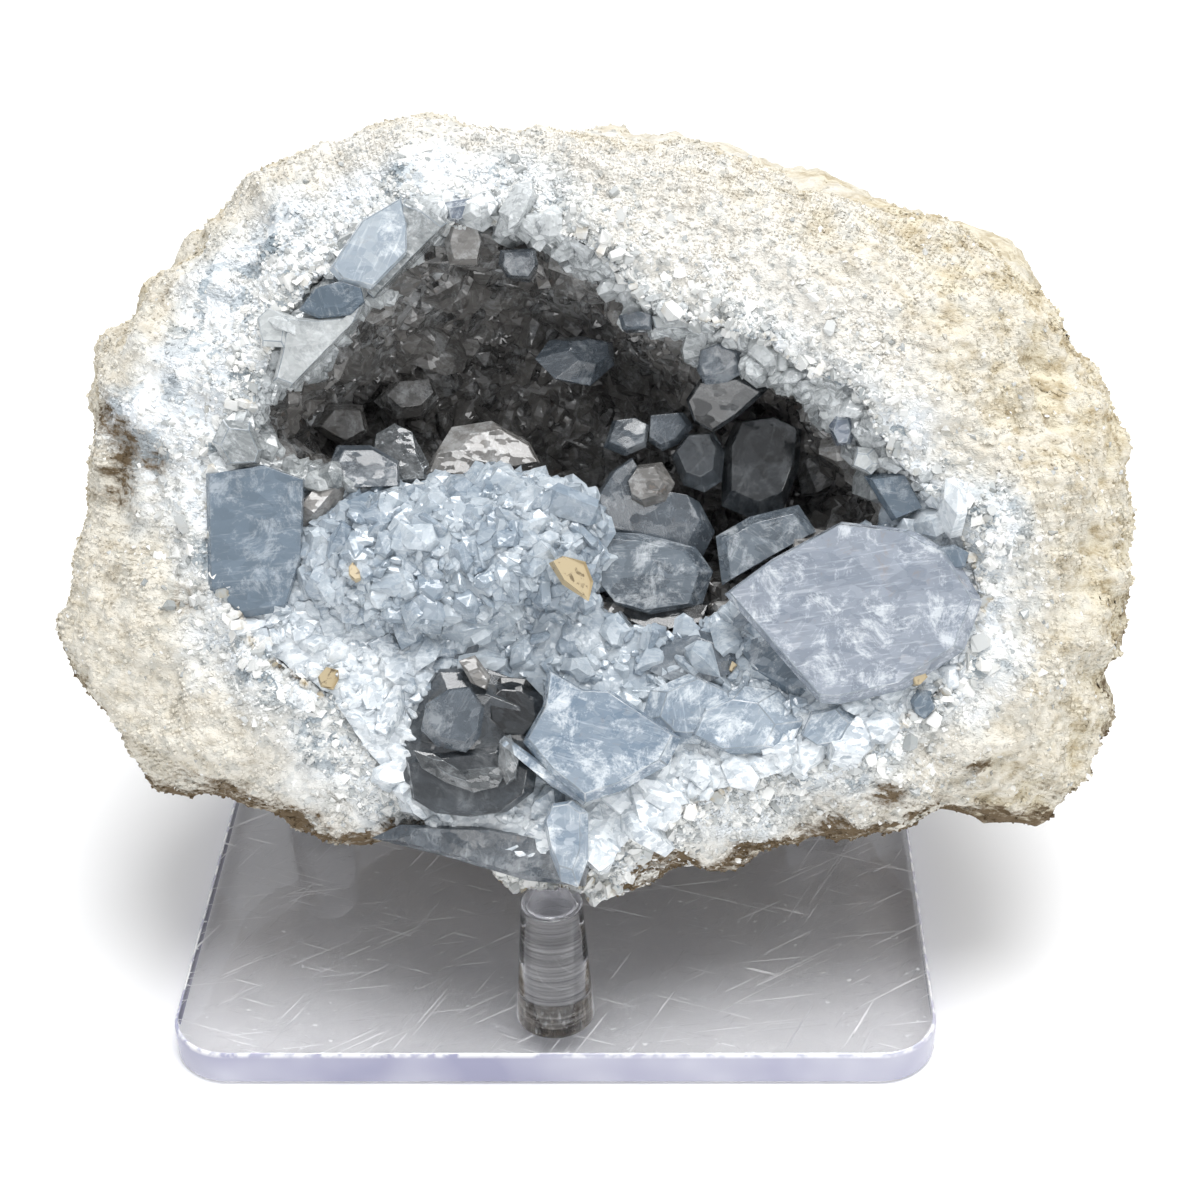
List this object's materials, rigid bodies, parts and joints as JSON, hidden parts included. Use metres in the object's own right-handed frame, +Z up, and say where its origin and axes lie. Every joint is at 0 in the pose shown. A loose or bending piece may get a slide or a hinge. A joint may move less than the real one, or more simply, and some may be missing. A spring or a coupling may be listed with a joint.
{
  "type": "celestite geode on stand",
  "caption": "Broken-open celestite nodule with a crystal-lined hollow, resting on a clear acrylic plate with upright pegs.",
  "frame": {"origin": "middle of the stand plate's underside", "axes": "+X to the right along the wide side of the geode as its hollow is seen, +Y to the back, +Z up"},
  "size_m": [0.1766, 0.1347, 0.1367],
  "materials": {
    "host_rock": "rough, granular, cream with brown in the pits",
    "celestite": "clear to milky pale blue crystal with flat glossy faces",
    "acrylic": "clear, polished, with scratches"
  },
  "bodies": {
    "root": {"rock_shell": "host_rock", "crystal_crust": "celestite", "stand_plate": "acrylic", "stand_peg_front": "acrylic", "stand_peg_rear_left": "acrylic", "stand_peg_rear_right": "acrylic"}
  },
  "joints": []
}
